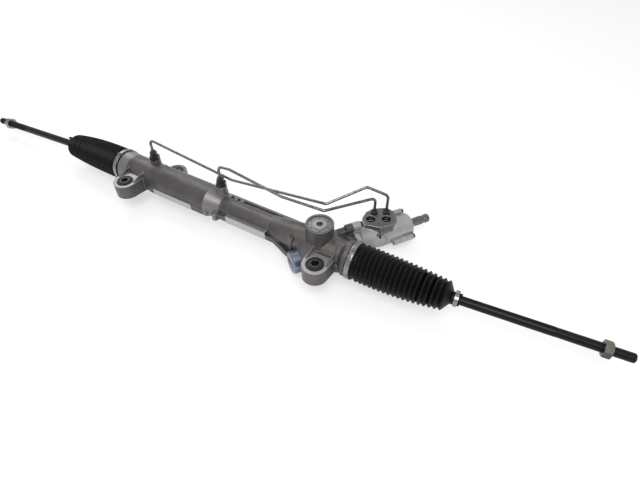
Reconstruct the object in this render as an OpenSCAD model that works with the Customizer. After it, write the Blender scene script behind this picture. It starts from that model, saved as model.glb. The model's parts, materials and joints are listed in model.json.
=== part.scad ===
// Hydraulic rack and pinion steering gear.
// Drawn with the rack along X, the driver's input shaft rising to +Y and the yoke tower up.
// All places are first measured from the point where tower axis and rack axis cross. The
// finished part is then shifted, so that its origin is the centre of the right mounting bush.

/* [Rack] */
// Diameter of the rack bar
rack_d = 26; // [24:0.5:28]
// Stroke from straight ahead to full lock
rack_stroke = 65; // [50:1:68]
// Play left between a ball socket and the housing at full lock
lock_gap = 1; // [0.5:0.5:4]
// Depth of the tooth reference line below the rack axis
tooth_line = 8.4; // [8:0.1:8.8]
// Angle of the rack teeth to the square
rack_tooth_angle = 8; // [6:0.5:10]

/* [Pinion] */
// Number of pinion teeth
pinion_teeth = 7; // [6:1:8]
// Normal module of the teeth
tooth_module = 2.2; // [2:0.05:2.3]
// Helix angle of the pinion
helix_angle = 27; // [25:0.5:29]
// Pressure angle of the teeth
pressure_angle = 20; // [18:0.5:22]
// Profile shift of the pinion, in modules
profile_shift = 0.5; // [0.45:0.05:0.55]
// Play between the tooth flanks
backlash = 0.24; // [0.2:0.01:0.3]
// Toothed length of the pinion
pinion_tooth_l = 34; // [30:1:36]

/* [Main housing] */
// Distance between the two boot shoulders
housing_l = 505; // [490:1:520]
// Distance from the tower axis to the right boot shoulder
shoulder_x = 59; // [54:1:66]
// Length of each boot seat
seat_l = 12; // [10:1:14]
// Diameter of each boot seat
seat_d = 58; // [56:0.5:60]
// Length of the turned collar beside the left boot
collar_l = 23; // [16:1:30]
// Diameter of the turned collar at the boot
collar_d = 62; // [61:0.5:64]
// Outer diameter of the power cylinder
cyl_d = 59; // [57:0.5:61]
// Bore of the power cylinder
cyl_bore = 45; // [43:0.5:47]
// Length from the left shoulder to the end of the cylinder
cyl_l = 217; // [206:1:226]
// Length of the cone between cylinder and rack tube
cone_l = 28; // [22:1:34]
// Outer diameter of the rack tube
tube_d = 36; // [35:0.5:40]
// Bore of the rack tube
tube_bore = 30; // [29:0.5:31]
// Outer diameter of the gear housing
case_d = 52; // [48:1:54]
// Distance from the tower axis to where the gear housing begins to widen
case_l = 96; // [84:1:110]

/* [Yoke tower] */
// Outer diameter of the tower
tower_d = 46; // [44:1:50]
// Height of the tower over the rack axis
tower_h = 50; // [46:1:56]
// Diameter of the support yoke
yoke_d = 34; // [32:1:36]
// Length of the support yoke over the rack axis
yoke_h = 30; // [26:1:32]
// Height of the adjuster plug
plug_h = 10; // [8:1:12]

/* [Mounting lugs] */
// Distance between the two front bushes
lug_pitch = 420; // [400:1:430]
// Distance from the tower axis to the right bush
lug_x = 20.5; // [16:0.5:24]
// Distance of the front bushes from the rack axis
lug_y = 50; // [48:0.5:56]
// Outer diameter of the lugs
lug_d = 43; // [40:1:46]
// Height of the front lugs
lug_h = 27; // [22:1:30]
// Diameter of the rubber bush
bush_d = 30; // [28:0.5:32]
// Outer diameter of the steel sleeve
sleeve_d = 18; // [17:0.5:20]
// Bore of the steel sleeve
sleeve_bore = 12.5; // [12.1:0.1:13.5]
// How far rubber and sleeve stand out of the lug
bush_proud = 2; // [1:0.5:3]
// Distance from the left shoulder to the rear bush
rear_lug_x = 78; // [72:1:84]
// Distance of the rear bush from the rack axis
rear_lug_y = 46; // [44:0.5:50]
// Height of the rear lug
rear_lug_h = 22; // [18:1:26]
// Drop of the rear lug's middle below the rack axis
rear_lug_drop = 23; // [20:1:24]

/* [Valve] */
// Distance along the pinion from the rack to the valve housing
valve_start = 62; // [59:1:65]
// Diameter of the valve housing's neck
valve_neck_d = 43; // [42:0.5:45]
// Diameter of the valve housing at its cover
valve_d = 46; // [45:0.5:50]
// Distance along the pinion from the rack to the cover
cover_start = 150; // [149:1:156]
// Length of the cover
cover_l = 25; // [24.5:0.5:30]
// Outer diameter of the valve sleeve
sleeve_valve_d = 36; // [34:0.5:37]
// Height of the port block over the rack axis
block_top = 12; // [11:0.5:14]
// Diameter of the two hose ports
port_d = 17; // [15:0.5:18]
// Depth of the two hose ports
port_depth = 11; // [9:0.5:11.5]
// Diameter of the input shaft's end
input_d = 15; // [14:0.5:16]
// Length of the input shaft outside the cover
input_out = 43; // [34:1:48]

/* [Pipes] */
// Diameter of the steel pipes
pipe_d = 5; // [4.5:0.25:6]
// Bend radius of the steel pipes
pipe_bend = 9; // [8:0.5:10]
// Width across flats of the fittings in the port bosses
boss_nut_af = 17; // [16:0.5:18]
// Height of fitting and tube nut over the port bosses
boss_nut_h = 19; // [14:1:20]
// Width across flats of the tube nuts
block_nut_af = 12; // [11:0.5:12.5]
// Height of the tube nuts over the valve housing
block_nut_h = 6; // [5:0.5:8]
// Diameter of the cylinder's port bosses
boss_d = 19; // [18:0.5:22]
// Height of the port bosses over the rack axis
boss_h = 33; // [31:0.5:35]
// Distance of the port bosses behind the rack axis
boss_y = 14; // [12:0.5:16]
// Distance from the left shoulder to the far port
far_port_x = 68; // [64:1:74]
// Distance from the left shoulder to the near port
near_port_x = 232; // [229:1:234]

/* [Boots] */
// Length of a boot
boot_l = 179; // [170:1:186]
// Number of folds in a boot
boot_folds = 18; // [12:1:19]
// Wall of a boot
boot_wall = 1.6; // [1.2:0.1:2]
// Diameter of a boot's first fold
boot_d = 64; // [62:0.5:66]
// Diameter of a boot's last fold
boot_end_d = 49; // [47:0.5:54]
// Depth of a fold
fold_depth = 4.25; // [3:0.25:4.5]
// Length of the cuff on the housing
cuff_l = 14; // [13:1:16]
// Length of the cuff on the tie rod
small_cuff_l = 13; // [11:1:15]
// Width of the wide band clamp
band_w = 8; // [6:0.5:9]

/* [Tie rods] */
// Length from ball centre to tip
tie_rod_l = 308; // [280:1:340]
// How much longer the left tie rod is
left_rod_extra = 24; // [0:1:30]
// Diameter of the shank
tie_rod_d = 14.6; // [14:0.1:16]
// Diameter of the thread at the tip
thread_d = 14; // [12:0.5:14]
// Length of the thread
thread_l = 100; // [60:1:120]
// How much thinner the thread is outside the lock nut
thread_step = 0.4; // [0.35:0.05:0.6]
// Diameter of the ball
ball_d = 28; // [26:0.5:29]
// Outer diameter of the ball socket
socket_d = 37; // [36:0.5:38]
// Distance from the socket's inner face to the ball centre
socket_back = 23; // [21:0.5:26]
// Width across flats of the lock nut
nut_af = 22; // [20:0.5:24]
// Thickness of the lock nut
nut_h = 11; // [8:0.5:13]
// Distance from the lock nut's middle to the tip
nut_place = 34; // [25:1:60]
// Swivel of the left tie rod towards the front
left_toe = 1.1; // [0:0.1:6]
// Droop of the left tie rod
left_droop = 3.4; // [-6:0.1:6]
// Swivel of the right tie rod towards the back
right_toe = 5.1; // [0:0.1:6]
// Droop of the right tie rod
right_droop = -0.8; // [-6:0.1:6]

/* [Fits] */
// Radial gap between pieces that are seated in each other
seat_gap = 0.05; // [0.02:0.01:0.1]
// Radial gap of a shaft that turns or slides in a bore
run_gap = 0.08; // [0.03:0.01:0.1]
// Gap between soft or loose pieces on different bodies
free_gap = 0.3; // [0.2:0.05:0.4]

/* [Hidden] */
$fn = 64;

// Places along the rack, from the tower axis
left_x = shoulder_x - housing_l;
housing_left = left_x - seat_l;
housing_right = shoulder_x + seat_l;
case_start = -case_l;
cyl_end = left_x + cyl_l;
tube_start = cyl_end + cone_l;
ball_reach = seat_l + rack_stroke + lock_gap + socket_back;
left_ball = left_x - ball_reach;
right_ball = shoulder_x + ball_reach;

// Rack end seals and the cylinder chamber
seal_w = 8;
seal_wall = 4.5;
bushing_l = 60;
bushing_d = cyl_bore - 2 * seat_gap;
ring_w = 2;
chamber_left = left_x - seat_l + bushing_l + seal_w + ring_w;
chamber_right = cyl_end + 6;
piston_w = 20;
piston_x = (chamber_left + chamber_right) / 2 + 3;

// Teeth
pitch_r = pinion_teeth * tooth_module / (2 * cos(helix_angle));
shaft_angle = helix_angle + rack_tooth_angle;
rack_addendum = 0.9 * tooth_module;
pinion_addendum = 0.8 * tooth_module;
root_gap = 0.25 * tooth_module;
pinion_z = -(tooth_line + pitch_r + profile_shift * tooth_module);
pinion_tip_r = pitch_r + profile_shift * tooth_module + pinion_addendum;
pinion_root_r = pitch_r + profile_shift * tooth_module - rack_addendum - root_gap;
side_angle = atan(tan(pressure_angle) / cos(helix_angle));
base_r = pitch_r * cos(side_angle);
half_tooth = (PI * tooth_module / 2 + 2 * profile_shift * tooth_module * tan(pressure_angle))
  / cos(helix_angle) / (2 * pitch_r) * 180 / PI;
pinion_twist = tan(helix_angle) / pitch_r * pinion_tooth_l * 180 / PI;
mesh_reach = 30;
rack_tooth_reach = rack_stroke + mesh_reach;

// Stations along the pinion, from the point under the tower
cap_face = -53;
cap_l = 17;
cap_spigot_l = 3;
cap_d = 40;
bearing_w = 10;
bearing_s = cap_face + cap_l + 0.5;
bearing_od = 35;
bearing_bore = 17;
pinion_nut_l = 7;
pinion_top = 58;
bush_s = 24;
bush_w = 10;
neck_r = 10;
sleeve_l = 54;
sleeve_top = pinion_top + sleeve_l;
input_tip = cover_start + cover_l + input_out;
input_mid_r = 11;
input_low_r = 8;
input_neck_r = 9;
torsion_r = 2.6;
torsion_end_r = 3.1;
torsion_low = 27;
torsion_high = 148;
pin_r = 1.5;
input_bearing_s = cover_start + 5;
input_bearing_w = 8;
seal_s = input_bearing_s + input_bearing_w + 1;
snap_s = seal_s + seal_w;
snap_w = 1.5;
cover_bore_r = 14;
cover_ear_h = cover_l - 6;
valve_ear_h = 14;
block_drop = 9;
screw_head_r = 4;

// Corner points of the pipes, from the tower, and their places on the valve housing, which are
// measured to the right of the pinion's axis and along it
far_port = left_x + far_port_x;
near_port = left_x + near_port_x;
far_corner_z = 76;
near_corner_z = 74;
block_corner_z = [50, 45];
LONG_PIPE_CORNERS = [[-199, 27, 42], [-18, 52, 45], [29.5, 108, 62]];
SHORT_PIPE_CORNERS = [[-192, 17, 74], [-90, 25, 50], [-13, 36, 44]];
long_pipe_in = [-14.7, 135];
short_pipe_in = [-23.5, 115.7];
hose_ports = [[-11.6, 102.6], [-0.4, 127]];

// Turned outline of the main housing, as distance from the tower and radius
function housing_outline() = [
  [housing_left, 0], [housing_left, seat_d / 2 - 1], [housing_left + 1, seat_d / 2],
  [left_x, seat_d / 2], [left_x, collar_d / 2 - 1], [left_x + 1, collar_d / 2],
  [left_x + collar_l, cyl_d / 2],
  [cyl_end, cyl_d / 2], [tube_start, tube_d / 2 + 0.6], [tube_start + 4, tube_d / 2],
  [case_start, tube_d / 2], [case_start + 0.8, tube_d / 2 + 1],
  [case_start + 40, case_d / 2 - 2], [case_start + 56, case_d / 2],
  [shoulder_x - 14, case_d / 2], [shoulder_x - 6, seat_d / 2 + 2],
  [shoulder_x, seat_d / 2 + 2], [shoulder_x, seat_d / 2], [housing_right - 1, seat_d / 2],
  [housing_right, seat_d / 2 - 1], [housing_right, 0],
];

// Cylinder from one place to another along the rack
module along_x(from, to, r, r2 = undef) {
  translate([from, 0, 0]) rotate([0, 90, 0]) cylinder(h = to - from, r1 = r, r2 = is_undef(r2) ? r : r2);
}

// Tube along the rack
module ring_x(from, to, r_out, r_in) {
  difference() {
    along_x(from, to, r_out);
    along_x(from - 1, to + 1, r_in);
  }
}

// Puts its children on the pinion's axis: X to the right of the shaft, Y down, Z along it
module on_pinion() {
  translate([0, 0, pinion_z]) rotate([0, 0, -shaft_angle]) rotate([-90, 0, 0]) children();
}

// Puts its children in the plan of the pinion: X to the right of the shaft, Y along it, Z up
module in_plan() {
  rotate([0, 0, -shaft_angle]) children();
}

// Cylinder between two stations of the pinion's axis
module along_pinion(from, to, r, r2 = undef) {
  on_pinion() translate([0, 0, from]) cylinder(h = to - from, r1 = r, r2 = is_undef(r2) ? r : r2);
}

// Tube between two stations of the pinion's axis
module ring_pinion(from, to, r_out, r_in) {
  difference() {
    along_pinion(from, to, r_out);
    along_pinion(from - 1, to + 1, r_in);
  }
}

module hex_prism(flats, h) {
  cylinder(h = h, d = flats / cos(30), $fn = 6);
}

// Lug with its neck to the housing; side is -1 for the front and 1 for the back,
// and lift is how far the neck's underside lies over the lug's
module lug(x, side, y, z_mid, h, root_half, lift = 0) {
  translate([x, 0, z_mid - h / 2]) {
    translate([0, side * y, 0]) cylinder(h = h, d = lug_d);
    translate([0, 0, lift]) linear_extrude(height = h - lift) polygon([
      [-lug_d / 2, side * y], [lug_d / 2, side * y],
      [root_half, side * cyl_d / 3], [root_half, 0], [-root_half, 0], [-root_half, side * cyl_d / 3],
    ]);
  }
}

// Upright web over a front lug, thin and falling from the housing to the lug's rim
module lug_web(x, top, reach) {
  web_t = 3.5;
  translate([x - web_t / 2, 0, 0]) rotate([90, 0, 90]) linear_extrude(height = web_t)
    polygon([[0, 0], [0, top], [-cyl_d / 4, top], [-reach, lug_h / 2], [-reach, 0]]);
}

module lug_bore(x, side, y, z_mid, h) {
  translate([x, side * y, z_mid - h / 2 - 1]) cylinder(h = h + 2, d = bush_d + 2 * seat_gap);
}

// Long rail with two milled pads on the front of the housing
module front_rail() {
  rail_x = left_x + 84;
  pad_1 = [left_x + 96, left_x + 190];
  pad_2 = [case_start - 84, case_start + 2];
  rail_y = -cyl_d / 2 - 0.9;
  pad_y = rail_y - 1.2;
  tube_rail_y = -tube_d / 2 - 6.4;
  tube_pad_y = tube_rail_y - 1.2;
  translate([rail_x, rail_y, -11]) cube([cyl_end + 8 - rail_x, -rail_y, 9]);
  translate([pad_1[0], pad_y, -10]) cube([pad_1[1] - pad_1[0], -pad_y, 12]);
  translate([tube_start - 2, tube_rail_y, -11]) cube([case_start - tube_start + 4, -tube_rail_y, 8]);
  translate([pad_2[0], tube_pad_y, -11]) cube([pad_2[1] - pad_2[0], -tube_pad_y, 15]);
  translate([cyl_end + 24, tube_rail_y, -14]) cylinder(h = 13, r = 6);
  // Curved web that falls from the second pad to the pinion boss, with a raised edge
  translate([case_start, 0, -11]) rotate([0, 13, 0]) {
    linear_extrude(height = 4) polygon([
      [0, 0], [0, -24.5], [3, -24.5], [16, -23], [30, -26.5], [44, -30.5], [53, -33], [58, -26],
      [58, 0],
    ]);
    linear_extrude(height = 8) polygon([
      [0, -20], [0, -24.5], [3, -24.5], [16, -23], [30, -26.5], [44, -30.5], [53, -33], [54, -29],
      [45, -26], [31, -22], [16, -18.5], [3, -20],
    ]);
  }
}

// Stiffening rail with a raised lip behind the rack tube
module rear_rail() {
  rail_l = case_start + 52 - tube_start;
  translate([tube_start - 8, 0, -5]) cube([rail_l, 24, 10]);
  translate([tube_start - 8, 22, -5]) cube([rail_l, 4.5, 13.5]);
  for (x = [tube_start, tube_start + 14, tube_start + 28])
    translate([x, 19, -4]) cylinder(h = 15, r = 4.5);
}

module port_boss(x) {
  base_r = boss_d / 2 + 3;
  translate([x, boss_y, 0]) {
    cylinder(h = boss_h, d = boss_d);
    cylinder(h = boss_h - 7, r1 = base_r, r2 = boss_d / 2);
  }
}

module main_housing() {
  tower_bore_r = yoke_d / 2 + run_gap;
  cap_seat = cap_face + cap_l - cap_spigot_l;
  color("dimgray") difference() {
    union() {
      rotate([0, 90, 0]) rotate_extrude($fn = 96)
        polygon([for (p = housing_outline()) [p[1], p[0]]]);
      // Yoke tower and its skirt
      cylinder(h = tower_h, d = tower_d);
      hull() {
        translate([0, 0, 20]) cylinder(h = 1, d = tower_d, $fn = 32);
        translate([-6, -8, -16]) cylinder(h = 1, d = tower_d + 14, $fn = 32);
      }
      // Pinion housing across the rack
      along_pinion(bearing_s, valve_start, bearing_od / 2 + 5);
      along_pinion(valve_start - 9, valve_start, valve_neck_d / 2 + 3);
      hull() {
        along_pinion(cap_seat + seat_gap, cap_seat + 2, cap_d / 2, $fn = 32);
        along_x(-24, 10, case_d / 2, $fn = 32);
      }
      // Shoulder between the tower and the valve housing
      hull() {
        along_pinion(valve_start - 16, valve_start - 12.5, valve_neck_d / 2 + 2.2, $fn = 32);
        translate([6, 4, -8]) cylinder(h = 30, d = tower_d - 4, $fn = 32);
      }
      valve_ears(valve_start - 12, 12);
      // Rib from the tower to the upper ear, and a gusset beside the flange
      in_plan() {
        translate([-10, 20, -10]) cube([12, valve_start - 21, 25]);
        translate([0, 0, -10]) linear_extrude(height = 16)
          polygon([[4, valve_start - 14], [18, valve_start - 1], [-2, valve_start - 1]]);
      }
      // Lugs and their webs
      lug(lug_x, -1, lug_y, 0, lug_h, 24);
      lug(lug_x - lug_pitch, -1, lug_y, 0, lug_h, 26);
      lug(left_x + rear_lug_x, 1, rear_lug_y, -rear_lug_drop, rear_lug_h, 30, 6);
      for (x = [lug_x, lug_x - lug_pitch], side = [-1, 1])
        lug_web(x + side * (lug_d / 2 - 3), cyl_d / 2 - 5.5, lug_y - 2);
      translate([lug_x + lug_d / 2 + 4, -lug_y + 26, -12]) cylinder(h = 16, r = 5);
      front_rail();
      rear_rail();
      port_boss(far_port);
      port_boss(near_port);
      translate(case_plug_place()) cylinder(h = 20, r = 6);
      translate(case_plug_place() + [-1, -6.5, -8]) cube([2, 9, 24]);
      translate([left_x + rear_lug_x + 18, 12, 0]) cylinder(h = cyl_d / 2 - 1, r = 3);
    }
    // Rack passage: bushing seat, cylinder, inner seal seat, tube
    along_x(housing_left - 1, chamber_right, cyl_bore / 2);
    along_x(chamber_right - 1, chamber_right + seal_w, rack_d / 2 + seal_wall);
    along_x(chamber_right, housing_right + 1, tube_bore / 2);
    // Yoke bore
    cylinder(h = tower_h + 1, r = tower_bore_r);
    translate([0, 0, ring_seat]) cylinder(h = tower_h, r = lock_ring_r + 0.2);
    // Pinion passage
    along_pinion(cap_face - 10, bearing_s + bearing_w, bearing_od / 2 + seat_gap);
    along_pinion(cap_face - 10, cap_seat, cap_d / 2 + free_gap);
    along_pinion(cap_face - 1, bush_s + 1, pinion_tip_r + 1);
    along_pinion(bush_s, bush_s + bush_w, neck_r + 5);
    along_pinion(bush_s, valve_start + 1, neck_r + 3);
    along_pinion(valve_start - 6, valve_start + 1, sleeve_valve_d / 2 + 1);
    lug_bore(lug_x, -1, lug_y, 0, lug_h);
    lug_bore(lug_x - lug_pitch, -1, lug_y, 0, lug_h);
    lug_bore(left_x + rear_lug_x, 1, rear_lug_y, -rear_lug_drop, rear_lug_h);
    // Oil passages under the two port bosses
    for (x = [far_port, near_port]) translate([x, boss_y, boss_h - 11]) cylinder(h = 12, r = 4);
    translate([far_port, boss_y, 0]) cylinder(h = boss_h, r = 2.2);
    translate([near_port, boss_y, boss_h - 8]) rotate([0, 210, 0]) cylinder(h = 34, r = 2.2);
    for (a = valve_bolt_places()) on_pinion() translate([a[0], a[1], valve_start - 13])
      cylinder(h = 14, r = 3 + seat_gap);
    translate(case_plug_place()) translate([0, 0, 15]) cylinder(h = 6, r = 3.5 + seat_gap);
  }
}

// Bolt places of the valve housing's flange, on the pinion's axis
valve_bolt_angles = [-97, 20];
valve_bolt_r = valve_neck_d / 2 + 10.8;
function valve_bolt_places() = [for (a = valve_bolt_angles) valve_bolt_r * [cos(a), sin(a)]];

// Ears for those bolts, with their webs to the neck
module valve_ears(from, h) {
  on_pinion() for (a = valve_bolt_angles) rotate([0, 0, a]) translate([0, 0, from]) {
    translate([valve_bolt_r, 0, 0]) cylinder(h = h, r = 8);
    translate([valve_neck_d / 2 - 1.5, -4.5, 0]) cube([valve_bolt_r - valve_neck_d / 2 + 1.5, 9, h]);
  }
}

// Screw places of the cover
function cover_screw_places() = [for (a = [-138, 12, 110]) (valve_d / 2 + 3) * [cos(a), sin(a)]];

function case_plug_place() = [-41.5, -21.5, 0];

module port_block_outline() {
  polygon([
    [15, 106.5], [16.5, 131], [8, 143], [-12, 149], [-26, 142], [-33, 122], [-31, 104], [-20, 90],
    [-3, 85.5],
  ]);
}

// Plan of the wide barrel, which begins at an oblique face
module barrel_outline() {
  polygon([
    [-valve_d, 96], [-18, 93], [-4.5, 87.8], [26, 122.4], [valve_d, 122.4],
    [valve_d, cover_start + 5], [-valve_d, cover_start + 5],
  ]);
}

module valve_housing() {
  bore_r = sleeve_valve_d / 2 + 2 * run_gap;
  color("silver") difference() {
    union() {
      along_pinion(valve_start, cover_start, valve_neck_d / 2);
      along_pinion(valve_start, valve_start + 8, valve_neck_d / 2 + 3.5);
      along_pinion(valve_start + 8, valve_start + 13, valve_neck_d / 2 + 3.5, valve_neck_d / 2);
      intersection() {
        along_pinion(84, cover_start, valve_d / 2);
        in_plan() translate([0, 0, pinion_z - valve_d]) linear_extrude(height = 2 * valve_d)
          barrel_outline();
      }
      valve_ears(valve_start, valve_ear_h);
      for (a = cover_screw_places()) on_pinion() translate([a[0], a[1], cover_start - 20])
        cylinder(h = 20, r = 5.5);
      in_plan() translate([0, 0, pinion_z - block_drop])
        linear_extrude(height = block_top - pinion_z + block_drop) port_block_outline();
    }
    along_pinion(valve_start - 1, sleeve_top + 4, bore_r);
    along_pinion(sleeve_top, cover_start + 1, input_mid_r + 4);
    in_plan() {
      for (p = hose_ports) translate([p[0], p[1], block_top - port_depth]) {
        cylinder(h = port_depth + 1, d = port_d);
        translate([0, 0, -6]) cylinder(h = 7, r = 3);
      }
      for (p = [short_pipe_in, long_pipe_in]) translate([p[0], p[1], block_top - 10]) {
        cylinder(h = 11, r = 4);
        translate([0, 0, -6]) cylinder(h = 7, r = 2);
      }
      translate([5.5, 110, block_top - 9]) cylinder(h = 10, r = 2.2);
      translate([17.5, 106, pinion_z]) cylinder(h = block_top - pinion_z + 1, r = 2.4);
    }
    for (a = valve_bolt_places()) on_pinion() translate([a[0], a[1], valve_start - 1])
      cylinder(h = valve_ear_h + 2, r = 3 + seat_gap);
    for (a = cover_screw_places()) on_pinion() translate([a[0], a[1], cover_start - 12])
      cylinder(h = 13, r = 2.5 + seat_gap);
  }
}

module valve_cover() {
  cover_end = cover_start + cover_l;
  body_r = valve_d / 2 + 3 - screw_head_r - 0.5;
  color("silver") difference() {
    union() {
      along_pinion(cover_start, cover_end - 2, body_r);
      along_pinion(cover_end - 2, cover_end, body_r, body_r - 2);
      for (a = cover_screw_places()) on_pinion() translate([a[0], a[1], cover_start])
        cylinder(h = cover_ear_h, r = 5.5);
    }
    along_pinion(cover_start - 1, cover_end + 1, input_neck_r + 3);
    along_pinion(input_bearing_s, cover_end + 1, cover_bore_r);
    along_pinion(cover_start - 1, cover_start + 3, input_mid_r + 4);
    for (a = cover_screw_places()) on_pinion() translate([a[0], a[1], cover_start - 1])
      cylinder(h = cover_ear_h + 2, r = 2.5 + seat_gap);
  }
}

module socket_screw(r, l, head_r, head_h) {
  difference() {
    union() {
      cylinder(h = l, r = r);
      translate([0, 0, l]) cylinder(h = head_h, r = head_r);
    }
    translate([0, 0, l + head_h - 2.5]) hex_prism(head_r, 3);
  }
}

module cover_screws() {
  color("dimgray") for (a = cover_screw_places()) on_pinion()
    translate([a[0], a[1], cover_start - 11]) socket_screw(2.5, 11 + cover_ear_h, screw_head_r, 4);
}

module valve_bolts() {
  color("dimgray") for (a = valve_bolt_places()) on_pinion()
    translate([a[0], a[1], valve_start - 12]) {
      cylinder(h = 12 + valve_ear_h, r = 3);
      translate([0, 0, 12 + valve_ear_h]) hex_prism(10, 5);
    }
}

module pinion_cap() {
  color("slategray") difference() {
    union() {
      along_pinion(cap_face, cap_face + 2, cap_d / 2 - 2, cap_d / 2);
      along_pinion(cap_face + 2, cap_face + cap_l - cap_spigot_l, cap_d / 2);
      along_pinion(cap_face + 2, cap_face + cap_l, bearing_od / 2 - seat_gap);
    }
    along_pinion(cap_face + 3, cap_face + cap_l + 1, bearing_od / 2 - 3);
    on_pinion() translate([0, 0, cap_face - 1]) {
      translate([-12, -2.5, 0]) cube([24, 5, 3]);
      for (x = [-10, 10]) translate([x, 8, 0]) cylinder(h = 3, r = 1.5);
    }
  }
}

module case_plug() {
  color("silver") translate(case_plug_place()) difference() {
    union() {
      translate([0, 0, 15]) cylinder(h = 5, r = 3.5);
      translate([0, 0, 20]) cylinder(h = 2, r = 4.8);
    }
    translate([0, 0, 20.5]) hex_prism(4, 3);
  }
}

module end_bushing() {
  color("gray") difference() {
    along_x(housing_left, housing_left + bushing_l, bushing_d / 2);
    along_x(housing_left - 1, housing_left + bushing_l + 1, rack_d / 2 + run_gap);
    ring_x(housing_left + bushing_l - 10, housing_left + bushing_l - 7, bushing_d, bushing_d / 2 - 1.5);
  }
}

module bushing_ring() {
  color("black") ring_x(
    housing_left + bushing_l + seal_w, chamber_left, cyl_bore / 2 - seat_gap, rack_d / 2 + 2
  );
}

module outer_rack_seal() {
  color("black") ring_x(
    housing_left + bushing_l, housing_left + bushing_l + seal_w, cyl_bore / 2 - seat_gap,
    rack_d / 2 + run_gap
  );
}

module inner_rack_seal() {
  color("black") ring_x(
    chamber_right, chamber_right + seal_w, rack_d / 2 + seal_wall - seat_gap, rack_d / 2 + run_gap
  );
}

// Support yoke
pad_t = 1.2;
spring_base = yoke_h - 12;
ring_seat = tower_h - 6;
lock_ring_r = yoke_d / 2 + 2.3;
plug_boss_r = 11.7;
plug_base = ring_seat - plug_h;

module support_yoke() {
  color("silver") difference() {
    translate([0, 0, 3]) cylinder(h = yoke_h - 3, d = yoke_d);
    along_x(-yoke_d, yoke_d, rack_d / 2 + pad_t + 2 * seat_gap);
    translate([0, 0, spring_base]) cylinder(h = yoke_h, r = 9);
  }
}

module yoke_pad() {
  color("white") intersection() {
    ring_x(-yoke_d, yoke_d, rack_d / 2 + pad_t + seat_gap, rack_d / 2 + seat_gap);
    translate([0, 0, 3.5]) cylinder(h = yoke_h, d = yoke_d - 1);
  }
}

// Coil with closed ends, as rings swept along a helix
module coil(r, wire, h, turns, sides = 8, steps = 14) {
  n = turns * steps;
  ring = function(i) let (a = i * 360 / steps, z = wire / 2 + (h - wire) * i / n)
    [for (j = [0:sides - 1]) let (b = j * 360 / sides, q = r + wire / 2 * cos(b))
      [q * cos(a), q * sin(a), z + wire / 2 * sin(b)]];
  pts = [for (i = [0:n], p = ring(i)) p];
  faces = [
    [for (j = [0:sides - 1]) j],
    [for (j = [sides - 1:-1:0]) n * sides + j],
    for (i = [0:n - 1], j = [0:sides - 1]) let (k = (j + 1) % sides)
      each [
        [i * sides + j, (i + 1) * sides + j, (i + 1) * sides + k],
        [i * sides + j, (i + 1) * sides + k, i * sides + k],
      ],
  ];
  polyhedron(points = pts, faces = faces);
}

module yoke_spring() {
  color("gray") translate([0, 0, spring_base]) coil(6.2, 2.6, plug_base - spring_base, 4);
}

module adjuster_plug() {
  color("silver") translate([0, 0, plug_base]) difference() {
    union() {
      cylinder(h = plug_h, d = yoke_d);
      cylinder(h = plug_h + 5.2, r = plug_boss_r);
    }
    translate([0, 0, plug_h - 1]) hex_prism(10, plug_h);
  }
}

module plug_lock_ring() {
  color("silver") translate([0, 0, ring_seat]) difference() {
    cylinder(h = 4.5, r = lock_ring_r);
    translate([0, 0, -1]) cylinder(h = 8, r = plug_boss_r + seat_gap);
    for (a = [0:60:300]) rotate([0, 0, a]) translate([15.5, 0, 2]) cylinder(h = 5, r = 1.3);
  }
}

// The three bushes: x, side, y, middle height and lug height of each
function bush_places() = [
  [lug_x, -lug_y, 0, lug_h],
  [lug_x - lug_pitch, -lug_y, 0, lug_h],
  [left_x + rear_lug_x, rear_lug_y, -rear_lug_drop, rear_lug_h],
];

module mount_bushes() {
  color("black") for (b = bush_places()) translate([b[0], b[1], b[2] - b[3] / 2 - bush_proud])
    difference() {
      union() {
        translate([0, 0, bush_proud]) cylinder(h = b[3], d = bush_d);
        cylinder(h = b[3] + 2 * bush_proud, d = bush_d - 3);
      }
      translate([0, 0, -1]) cylinder(h = b[3] + 2 * bush_proud + 2, d = sleeve_d);
      for (z = [-1, b[3] + 2 * bush_proud - 1.5]) translate([0, 0, z]) difference() {
        cylinder(h = 2.5, r = bush_d / 2 - 3);
        cylinder(h = 2.5, r = sleeve_d / 2 + 1.2);
      }
    }
}

module bush_sleeves() {
  color("gray") for (b = bush_places()) translate([b[0], b[1], b[2] - b[3] / 2 - bush_proud - 0.5])
    difference() {
      cylinder(h = b[3] + 2 * bush_proud + 1, d = sleeve_d - 2 * seat_gap);
      translate([0, 0, -1]) cylinder(h = b[3] + 2 * bush_proud + 3, d = sleeve_bore);
    }
}

// Ball bearing at the pinion's lower end
race_t = 3.4;
bearing_mid_r = (bearing_od + bearing_bore) / 4;
bearing_ball_r = bearing_mid_r - bearing_bore / 2 - race_t + 1.4;
ball_count = 9;

module race_groove() {
  on_pinion() translate([0, 0, bearing_s + bearing_w / 2]) rotate_extrude()
    translate([bearing_mid_r, 0]) circle(r = bearing_ball_r + run_gap);
}

module bearing_outer_race() {
  color("silver") difference() {
    ring_pinion(bearing_s, bearing_s + bearing_w, bearing_od / 2, bearing_od / 2 - race_t);
    race_groove();
  }
}

module bearing_inner_race() {
  color("silver") difference() {
    ring_pinion(bearing_s, bearing_s + bearing_w, bearing_bore / 2 + race_t, bearing_bore / 2);
    race_groove();
  }
}

module bearing_balls() {
  color("silver") on_pinion() translate([0, 0, bearing_s + bearing_w / 2])
    for (i = [0:ball_count - 1]) rotate([0, 0, i * 360 / ball_count])
      translate([bearing_mid_r, 0, 0]) sphere(r = bearing_ball_r);
}

module pinion_bush() {
  color("peru") ring_pinion(bush_s, bush_s + bush_w, neck_r + 5 - seat_gap, neck_r + run_gap);
}

module input_bearing() {
  color("peru") ring_pinion(
    input_bearing_s, input_bearing_s + input_bearing_w, cover_bore_r - seat_gap,
    input_neck_r + run_gap
  );
}

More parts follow.
